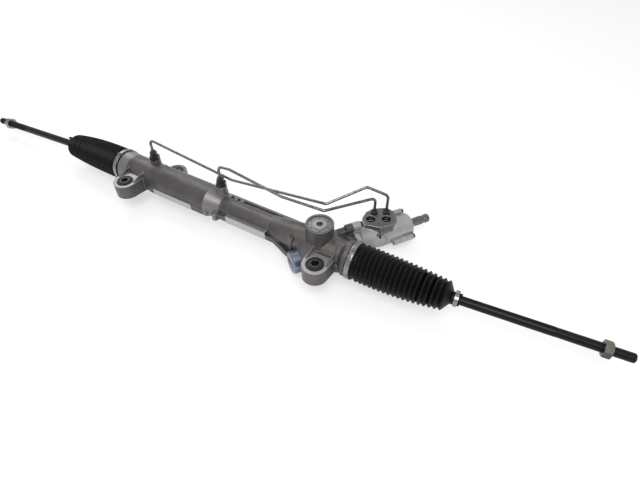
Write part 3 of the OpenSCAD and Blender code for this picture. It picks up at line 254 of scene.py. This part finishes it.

# metals: name, dark and light tone, worn edge with its painted highlight, metallic, roughness, size of the
# marks in mm, relief and shine; rubbers: name, dark and light tone, roughness, relief and shine. Real
# blasting grain is about 0.2 mm and real tool marks 0.1 mm, so they are drawn as coarse as they need to be to
# show
finishes = {
    # sand-blasted die casting: matt warm grey, milled faces paler, edges rubbed bright with a painted
    # highlight
    "housing_casting": castMetal("sandBlastedAluminium", "#474544", "#605d5c", "#9a9896",
                                 0.65, 0.42, 0.9, 0.5, castingPatches["housing"]),
    # bright die casting: paler, with a darker port block and holes made nearly black with painted shade
    "valve_casting": castMetal("brightAluminiumCasting", "#8b8a8b", "#afaeae", "#d6d5d5",
                               0.7, 0.38, 1.0, 0.4, castingPatches["valve"]),
    # turned aluminium: light grey with soft streaks
    "machined_aluminium": turnedMetal("turnedAluminium", "#78787a", "#8f8f91", "#d4d4d6",
                                      0.95, 0.3, 0.6, 0.2),
    # pressed steel, bluish zinc plate: cool grey
    "cap_metal": turnedMetal("bluishZincPlate", "#5f6675", "#7b8292", "#b9bfcd", 0.8, 0.34, 2.0, 0.2),
    # forged steel, dark plate: nearly black, bright only at its corners, which are worn and given a painted
    # highlight
    "bolt_steel": turnedMetal("darkPlatedSteel", "#2f2e2d", "#484745", "#8d8c8a", 0.8, 0.38, 1.5, 0.3),
    # turned steel, bare: mid grey with tool marks
    "machined_steel": turnedMetal("turnedSteel", "#5a5a5b", "#7c7c7d", "#c4c4c5", 0.95, 0.3, 0.8, 0.2),
    # ground bearing steel: almost a mirror
    "bearing_steel": turnedMetal("groundBearingSteel", "#b4b4b6", "#c8c8ca", "#d8d8da",
                                 1.0, 0.15, 3.0, 0.05),
    # sintered bronze: dull golden brown
    "bronze": turnedMetal("sinteredBronze", "#94703f", "#b08a52", "#c8a468", 0.9, 0.45, 0.5, 0.3),
    # moulded nitrile rubber: smooth and black
    "seal_rubber": mouldedRubber("sealRubber", "#101010", "#1c1c1c", 0.5, 0.1),
    # moulded natural rubber: matt charcoal
    "bush_rubber": mouldedRubber("bushRubber", "#131313", "#222221", 0.62, 0.2),
    # moulded chloroprene rubber: deep black with a faint soft sheen
    "boot_rubber": mouldedRubber("bootRubber", "#020203", "#060607", 0.45, 0.15, 0.16),
    # moulded acetal: off-white and waxy
    "pad_plastic": mouldedRubber("whiteAcetal", "#dcdad0", "#e8e6de", 0.45, 0.05),
    # moulded plastic filled with carbon: dull and nearly black
    "ring_plastic": mouldedRubber("carbonFilledPlastic", "#1d1c1c", "#2a2929", 0.5, 0.1),
    # drawn steel tube, zinc plate: cool grey with a bright line along it
    "pipe_steel": turnedMetal("zincPlatedTube", "#5e6164", "#7d8083", "#b9bcbf", 0.95, 0.22, 4.0, 0.1),
    # rolled steel strip, bright zinc: shiny pale grey
    "clamp_steel": turnedMetal("brightZincStrip", "#747477", "#97979a", "#dadadc", 0.95, 0.26, 3.0, 0.1),
    # ground hardened steel: pale and smooth
    "rack_steel": turnedMetal("groundSteel", "#b0b0b2", "#c6c6c8", "#d8d8da", 1.0, 0.2, 2.0, 0.05),
    # forged steel, phosphated: dull dark grey
    "socket_steel": turnedMetal("phosphatedSteel", "#4a4a49", "#63635f", "#a2a2a0", 0.6, 0.5, 1.2, 0.3),
    # forged steel, black coating: black with little gleam
    "rod_steel": turnedMetal("blackCoatedSteel", "#040405", "#0a0a0b", "#1c1c1e",
                             0, 0.36, 2.5, 0.2, 0.18),
    # forged steel, olive plate: greenish grey
    "nut_steel": turnedMetal("oliveGreyPlate", "#3c3c36", "#56564e", "#9a9a90", 0.8, 0.36, 1.5, 0.2),
}

slotOf = {part["node"]: part["material_slot"] for part in frame["record"]["subparts"]}
# the photograph shows these darker or brighter than the rest of their kind
ownFinish = {"left_spring_clamp": "rod_steel", "left_lock_nut": "clamp_steel", "bush_sleeves": "bolt_steel",
             "plug_lock_ring": "machined_steel"}
for name, piece in frame["nodes"].items():
    finish = finishes[ownFinish.get(name, slotOf[name])]
    if not piece.material_slots:
        piece.data.materials.append(finish)
    for slot in piece.material_slots:
        slot.material = finish
print("materials set")


bpy.ops.object.select_all(action="DESELECT")


mergeReach = 0.001  # mm


def startVertex(name, x, y, z):
    # one vertex at a place in mm, in edit mode, for a profile to be extruded from it
    bpy.ops.mesh.primitive_plane_add(size=2 * mm, location=(x * mm, y * mm, z * mm))
    piece = bpy.context.object
    piece.name = name
    bpy.ops.object.mode_set(mode="EDIT")
    bpy.ops.mesh.select_all(action="SELECT")
    bpy.ops.mesh.merge(type="CENTER")
    return piece


def extrudeTo(x, y, z):
    bpy.ops.mesh.extrude_region_move(TRANSFORM_OT_translate={"value": (x * mm, y * mm, z * mm)})


def spinAll(steps, centre, axis, degrees=360):
    bpy.ops.mesh.select_all(action="SELECT")
    bpy.ops.mesh.spin(steps=steps, angle=math.radians(degrees), center=[c * mm for c in centre], axis=axis)
    bpy.ops.mesh.select_all(action="SELECT")
    bpy.ops.mesh.remove_doubles(threshold=mergeReach * mm)
    bpy.ops.mesh.normals_make_consistent(inside=False)


def settle(piece, smoothAngle=35):
    # leaves edit mode, puts the place into the mesh, and shades it
    if bpy.context.mode != "OBJECT":
        bpy.ops.object.mode_set(mode="OBJECT")
    bpy.ops.object.select_all(action="DESELECT")
    piece.select_set(True)
    bpy.context.view_layer.objects.active = piece
    bpy.ops.object.transform_apply(location=True, rotation=True, scale=True)
    bpy.ops.object.shade_smooth_by_angle(angle=math.radians(smoothAngle))
    piece.select_set(False)
    return piece


def applyModifier(piece, kind, **settings):
    bpy.context.view_layer.objects.active = piece
    modifier = piece.modifiers.new(kind.title(), kind)
    for name, value in settings.items():
        setattr(modifier, name, value)
    bpy.ops.object.modifier_apply(modifier=modifier.name)


def finishPiece(piece, slotName, body=None):
    if not piece.data.materials:
        piece.data.materials.append(finishes[slotName])
    if body:
        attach(piece, body)


bellows = {
    "shoulder": {"right": 38.5, "left": -466.5},  # mm along X
    "slopes": {"right": (0.0892, 0.0140), "left": (-0.0192, -0.0594)},  # of the tie rod, along Y and Z
    "length": 179,
    "cuffLength": 14,
    "cuffRadius": 31.3,
    "folds": 18,
    "foldStart": 17,
    "foldEnd": 160,
    "firstRadius": 32,
    "lastRadius": 24.5,
    "smallCuffRadius": 10.1,
    "smallCuffLength": 13,
    "ballReach": 101,
    "wall": 1.5,
    "segments": 48,
    "smoothAngle": 60,
    "narrowing": 2.5,  # power by which the folds grow narrower towards the rod
    # the cuff's outline, as distance before its end and drop from its radius
    "cuffOutline": ((13.8, 0), (13.2, 0), (2.6, 0), (1.4, 0.4), (0, 2.8)),
    # one fold, as share of its pitch and height over its radius; the first is the valley
    "foldOutline": ((0, -4.6), (0.34, -0.5), (0.5, 0.1), (0.66, -0.5)),
    "cuts": (13, 15),  # folds at which the boot divides into its three stretches
}


def foldPlace(k):
    return bellows["foldStart"] + k * (bellows["foldEnd"] - bellows["foldStart"]) / bellows["folds"]


def bellowsProfile():
    # the outline of the boot, as distance from the shoulder and radius
    b = bellows
    coneEnd = b["length"] - b["smallCuffLength"]
    pitch = (b["foldEnd"] - b["foldStart"]) / b["folds"]
    points = [(b["cuffLength"] - before, b["cuffRadius"] - drop) for before, drop in b["cuffOutline"]]
    for k in range(b["folds"]):
        narrower = (k / (b["folds"] - 1)) ** b["narrowing"]
        radius = b["firstRadius"] + (b["lastRadius"] - b["firstRadius"]) * narrower
        points += [(foldPlace(k) + share * pitch, radius + over) for share, over in b["foldOutline"]]
    small = b["smallCuffRadius"]
    points += [(coneEnd - 1, small + 1.2), (coneEnd, small), (coneEnd + 1, small)]
    points += [(b["length"] - 0.6, small), (b["length"], small)]
    return points


def bendAt(u):
    # the boot's axis leaves the rack's u mm from the shoulder by this many mm times the rod's slope: a
    # cubic that starts level and meets the rod's own line at the small cuff
    reach = bellows["length"] - bellows["smallCuffLength"]
    endShare = (reach - bellows["ballReach"]) / reach
    t = u / reach
    if t > 1:
        return u - bellows["ballReach"]
    return reach * ((3 * endShare - 1) * t * t + (1 - 2 * endShare) * t ** 3)


def makeBootStretch(side, name, points):
    way = 1 if side == "right" else -1
    shoulder = bellows["shoulder"][side]
    piece = startVertex(side + name, shoulder + way * points[0][0], rackY, points[0][1])
    for (u0, r0), (u1, r1) in zip(points, points[1:]):
        extrudeTo(way * (u1 - u0), 0, r1 - r0)
    spinAll(bellows["segments"], (shoulder, rackY, 0), (1, 0, 0))
    settle(piece)
    applyModifier(piece, "SUBSURF", levels=1, render_levels=1)
    applyModifier(piece, "SOLIDIFY", thickness=bellows["wall"] * mm, offset=-1)
    slopeY, slopeZ = bellows["slopes"][side]
    for vertex in piece.data.vertices:
        shift = bendAt(abs(vertex.co.x / mm - shoulder)) * mm
        vertex.co.y += slopeY * shift
        vertex.co.z += slopeZ * shift
    settle(piece, bellows["smoothAngle"])
    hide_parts(side + "_boot")
    finishPiece(piece, "boot_rubber")
    return piece


def makeBoot(side):
    # the boot is made as three stretches, divided at two of its folds
    points = bellowsProfile()
    firstCut, lastCut = (foldPlace(k) for k in bellows["cuts"])
    near = 0.01  # mm, so that a cut's own point belongs to both stretches
    folds = [p for p in points if p[0] <= firstCut + near]
    swing = [p for p in points if firstCut - near <= p[0] <= lastCut + near]
    tip = [p for p in points if p[0] >= lastCut - near]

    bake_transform(makeBootStretch(side, "Bellows", folds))
    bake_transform(makeBootStretch(side, "BellowsSwing", swing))
    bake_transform(makeBootStretch(side, "BellowsTip", tip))


for side in ("right", "left"):
    makeBoot(side)
print("bellows boots made")


bandClamp = {
    "start": 2,  # mm from the shoulder
    "width": 8,
    "radius": 31.45,
    "strip": 0.9,
    "rim": 1.2,  # width of the strip's rolled rims
    "swell": 0.15,  # how far the strip stands over its rims
    "segments": 72,
    "tongueStart": -22,  # degrees round the band from the top, towards the front
    "tongueTurn": 62,
    "tongueSteps": 16,
    "tongueMiddle": 1.45,  # mm over the band's radius
    "tongueSide": 1.1,  # mm that the tongue is narrower than the band on each side
    "earPlace": -16,
    "earMiddle": 3,
    "earSide": 0.5,
    "earLength": 6.5,
    "earHeight": 3.4,
    "earRounding": 0.8,
    "dimpleRim": 1.1,
    "dimpleDepth": 1,
}


def editAll(piece):
    bpy.context.view_layer.objects.active = piece
    bpy.ops.object.mode_set(mode="EDIT")
    bpy.ops.mesh.select_all(action="SELECT")


def turnOnRack(degrees, x):
    # turns what is selected round the rack's axis
    bpy.ops.transform.rotate(value=math.radians(degrees), orient_axis="X",
                             center_override=(x * mm, rackY * mm, 0))


def makeBandClamp(side):
    b = bandClamp
    way = 1 if side == "right" else -1
    shoulder = bellows["shoulder"][side]
    near = shoulder + way * b["start"]
    piece = startVertex(side + "Band", near, rackY, b["radius"])
    extrudeTo(way * b["width"], 0, 0)
    extrudeTo(0, 0, b["strip"])
    extrudeTo(-way * b["rim"], 0, b["swell"])
    extrudeTo(-way * (b["width"] - 2 * b["rim"]), 0, 0)
    extrudeTo(-way * b["rim"], 0, -b["swell"])
    extrudeTo(0, 0, -b["strip"])
    spinAll(b["segments"], (shoulder, rackY, 0), (1, 0, 0))
    settle(piece)
    # the strip's free end lies on the band as a second layer
    middle = near + way * b["width"] / 2
    place = (middle * mm, rackY * mm, (b["radius"] + b["tongueMiddle"]) * mm)
    bpy.ops.mesh.primitive_plane_add(size=1, location=place, rotation=(math.radians(90), 0, 0))
    tongue = bpy.context.object
    tongue.scale = ((b["width"] - 2 * b["tongueSide"]) * mm, b["strip"] * mm, 1)
    settle(tongue)
    editAll(tongue)
    turnOnRack(b["tongueStart"], middle)
    spinAll(b["tongueSteps"], (middle, rackY, 0), (1, 0, 0), b["tongueTurn"])
    settle(tongue)
    # crimped ear over the tongue's root, with a pressed dimple
    place = (middle * mm, rackY * mm, (b["radius"] + b["earMiddle"]) * mm)
    bpy.ops.mesh.primitive_cube_add(size=1, location=place)
    ear = bpy.context.object
    ear.scale = ((b["width"] - 2 * b["earSide"]) * mm, b["earLength"] * mm, b["earHeight"] * mm)
    settle(ear)
    editAll(ear)
    bpy.ops.mesh.bevel(offset=b["earRounding"] * mm, segments=2, affect="EDGES")
    bpy.ops.object.mode_set(mode="OBJECT")
    for face in ear.data.polygons:
        face.select = face.normal.z > 0.95
    bpy.ops.object.mode_set(mode="EDIT")
    bpy.ops.mesh.select_mode(type="FACE")
    bpy.ops.mesh.inset(thickness=b["dimpleRim"] * mm, depth=-b["dimpleDepth"] * mm)
    bpy.ops.mesh.select_all(action="SELECT")
    turnOnRack(b["earPlace"], middle)
    bpy.ops.mesh.select_mode(type="VERT")
    settle(ear)
    for part in (tongue, ear, piece):
        part.select_set(True)
    bpy.context.view_layer.objects.active = piece
    bpy.ops.object.join()
    settle(piece)
    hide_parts(side + "_band_clamp")
    finishPiece(piece, "clamp_steel", "housing")


for side in ("right", "left"):
    makeBandClamp(side)
print("band clamps made")


rodThread = {
    "pitch": 1.5,  # mm
    "sink": 0.25,  # how far the ridge's foot lies in the rod
    "height": 0.55,
    "footDepth": 0.3,  # how far the ridge's closing point lies below its foot
    "stepsPerTurn": 20,
    "smoothAngle": 30,
    "rodRadius": 7,
    "tipRadius": 6.8,
    "ball": {"right": (139.5, rackY, 0), "left": (-567.5, rackY, 0)},
    "turn": {"right": (5.1, -0.8), "left": (1.1, 3.4)},  # degrees of toe and droop
    "length": {"right": 308, "left": 332},
    "threaded": 100,
    "nutPlace": 34,  # from the tip to the lock nut's middle
    "nutHeight": 11,
}


def alongRod(side):
    toe, droop = (math.radians(a) for a in rodThread["turn"][side])
    way = 1 if side == "right" else -1
    return Vector((way * math.cos(droop) * math.cos(toe), way * math.sin(toe) * math.cos(droop),
                   -math.sin(droop)))


def makeThread(name, start, direction, radius, length, outward=1):
    # a closed ridge section, wound along Z by the Screw modifier and then laid on its axis
    t = rodThread
    piece = startVertex(name, radius - outward * t["sink"], 0, 0)
    extrudeTo(outward * t["height"], 0, 0.5 * t["pitch"])
    extrudeTo(-outward * t["height"], 0, 0.45 * t["pitch"])
    extrudeTo(-outward * t["footDepth"], 0, -0.45 * t["pitch"])
    extrudeTo(outward * t["footDepth"], 0, -0.5 * t["pitch"])
    bpy.ops.mesh.select_all(action="SELECT")
    bpy.ops.mesh.remove_doubles(threshold=mergeReach * mm)
    bpy.ops.object.mode_set(mode="OBJECT")
    bpy.ops.object.transform_apply(location=True, rotation=True, scale=True)
    turns = int(length / t["pitch"]) - 1
    applyModifier(piece, "SCREW", axis="Z", screw_offset=t["pitch"] * mm, iterations=turns,
                  steps=t["stepsPerTurn"], render_steps=t["stepsPerTurn"], use_normal_calculate=True)
    piece.rotation_euler = direction.to_track_quat("Z", "X").to_euler()
    piece.location = start
    return settle(piece, t["smoothAngle"])


def makeRodThreads(side):
    # one thread up to the lock nut, and one on the tip beyond it
    t = rodThread
    ball = Vector(t["ball"][side]) * mm
    direction = alongRod(side)
    total = t["length"][side]
    pastNut = total - t["nutPlace"] + t["nutHeight"] / 2 + 1
    innerLength = t["threaded"] - t["nutPlace"] - t["nutHeight"] / 2
    tipLength = t["nutPlace"] - t["nutHeight"] / 2 - 3
    inner = makeThread(side + "RodThread", ball + direction * (total - t["threaded"]) * mm, direction,
                       t["rodRadius"], innerLength)
    outer = makeThread(side + "TipThread", ball + direction * pastNut * mm, direction,
                       t["tipRadius"], tipLength)
    for piece in (inner, outer):
        finishPiece(piece, "rod_steel", side + "_rod")


for side in ("right", "left"):
    makeRodThreads(side)
print("rod threads made")


hosePorts = {
    "places": ((28.85, 140.70), (52.02, 154.26)),  # mm along X and Y
    "bottom": 1.6,
    "threadLength": 9.6,
    "radius": 8.5,
}

for number, (x, y) in enumerate(hosePorts["places"]):
    start = Vector((x, y, hosePorts["bottom"])) * mm
    thread = makeThread("portThread" + str(number + 1), start, Vector((0, 0, 1)),
                        hosePorts["radius"], hosePorts["threadLength"], outward=-1)
    finishPiece(thread, "bolt_steel", "housing")
print("port threads made")


spline = {
    "teeth": 30,
    "outerRadius": 7.85,
    "rootRadius": 7.3,
    "smoothAngle": 20,
    "parts": ((188, 15), (209, 7)),  # mm along the pinion's axis, and length
}


def makeSpline(name, start, length):
    # a toothed ring: every second pair of vertices is drawn in, then the ring is extruded
    bpy.ops.mesh.primitive_circle_add(vertices=4 * spline["teeth"], radius=spline["outerRadius"] * mm,
                                      fill_type="NGON")
    piece = bpy.context.object
    piece.name = name
    for vertex in piece.data.vertices:
        vertex.select = vertex.index % 4 in (0, 1)
    for face in piece.data.polygons:
        face.select = False
    for edge in piece.data.edges:
        edge.select = False
    bpy.ops.object.mode_set(mode="EDIT")
    bpy.ops.mesh.select_mode(type="VERT")
    narrow = spline["rootRadius"] / spline["outerRadius"]
    bpy.ops.transform.resize(value=(narrow, narrow, 1), center_override=(0, 0, 0))
    bpy.ops.mesh.select_all(action="SELECT")
    bpy.ops.mesh.extrude_region_move(TRANSFORM_OT_translate={"value": (0, 0, length * mm)})
    bpy.ops.mesh.select_all(action="SELECT")
    bpy.ops.mesh.normals_make_consistent(inside=False)
    bpy.ops.object.mode_set(mode="OBJECT")
    axis = Vector((math.sin(pinionTurn), math.cos(pinionTurn), 0))
    piece.rotation_euler = axis.to_track_quat("Z", "Y").to_euler()
    piece.location = Vector((towerX, rackY, pinionZ)) * mm + axis * start * mm
    settle(piece, spline["smoothAngle"])
    finishPiece(piece, "machined_steel", "input")


for number, (start, length) in enumerate(spline["parts"]):
    makeSpline("inputSpline" + str(number + 1), start, length)
print("input splines made")


cameraView = {
    "place": (0.2413, -0.3949, 0.5267),  # metres, from the right bush's bore
    "down": 44.84,  # degrees below level
    "turn": 30.43,  # degrees to the left of +Y
    "lens": 24.92,  # mm
    "filmWidth": 36,
    "nearClip": 0.01,
}


def placeCamera():
    data = bpy.data.cameras.new("photoCamera")
    data.lens = cameraView["lens"]
    data.sensor_width = cameraView["filmWidth"]
    data.clip_start = cameraView["nearClip"]
    camera = bpy.data.objects.new("photoCamera", data)
    camera.location = cameraView["place"]
    camera.rotation_euler = (math.radians(90 - cameraView["down"]), 0, math.radians(cameraView["turn"]))
    bpy.context.scene.collection.objects.link(camera)
    bpy.context.scene.camera = camera


studio = {
    "floorSize": 12,  # metres
    "floorGap": 0.2,  # mm below the lowest point
    "floorColour": "#f4f4f4",
    "floorRoughness": 0.9,
    "floorGlow": 0.55,
    "worldLevel": 0.7,
    "keyWatts": 28,
    "keyPlace": (0.4, -0.9, 1.7),
    "fillWatts": 16,
    "fillPlace": (-1.4, 1.0, 1.5),
    "lampSize": 1.2,
    "aim": (-0.2, 0, 0),
}


def paleFloor():
    height = cadBox[0][2] - studio["floorGap"] * mm
    bpy.ops.mesh.primitive_plane_add(size=studio["floorSize"], location=(0, 0, height))
    floor = bpy.context.object
    floor.name = "floor"
    material, shader = newMaterial("whitePaperFloor")
    shader.inputs["Base Color"].default_value = hexColour(studio["floorColour"])
    shader.inputs["Roughness"].default_value = studio["floorRoughness"]
    # seen directly it is white paper, apart from the object's own soft shadow
    path = addNode(material, "ShaderNodeLightPath")
    glow = addNode(material, "ShaderNodeEmission", {"Color": (1, 1, 1, 1), "Strength": 1.0})
    seen = addNode(material, "ShaderNodeMath", {1: studio["floorGlow"]}, {0: (path, "Is Camera Ray")},
                   operation="MULTIPLY")
    mixed = addNode(material, "ShaderNodeMixShader", None,
                    {0: (seen, "Value"), 1: (shader, "BSDF"), 2: (glow, "Emission")})
    feed(material, mixed, "Shader", material.node_tree.nodes["Material Output"], "Surface")
    floor.data.materials.append(material)


def lightStudio():
    world = bpy.data.worlds.new("studioWorld")
    world.use_nodes = True
    bpy.context.scene.world = world
    background = world.node_tree.nodes["Background"]
    background.inputs["Color"].default_value = (1, 1, 1, 1)
    background.inputs["Strength"].default_value = studio["worldLevel"]
    for name in ("key", "fill"):
        data = bpy.data.lights.new(name + "Lamp", "AREA")
        data.energy = studio[name + "Watts"]
        data.size = studio["lampSize"]
        lamp = bpy.data.objects.new(name + "Lamp", data)
        lamp.location = studio[name + "Place"]
        toPart = Vector(studio["aim"]) - lamp.location
        lamp.rotation_euler = toPart.to_track_quat("-Z", "Y").to_euler()
        bpy.context.scene.collection.objects.link(lamp)
    bpy.context.scene.view_settings.view_transform = "Standard"


bpy.ops.object.select_all(action="DESELECT")
placeCamera()
paleFloor()
lightStudio()
print("camera, floor and lamps placed")
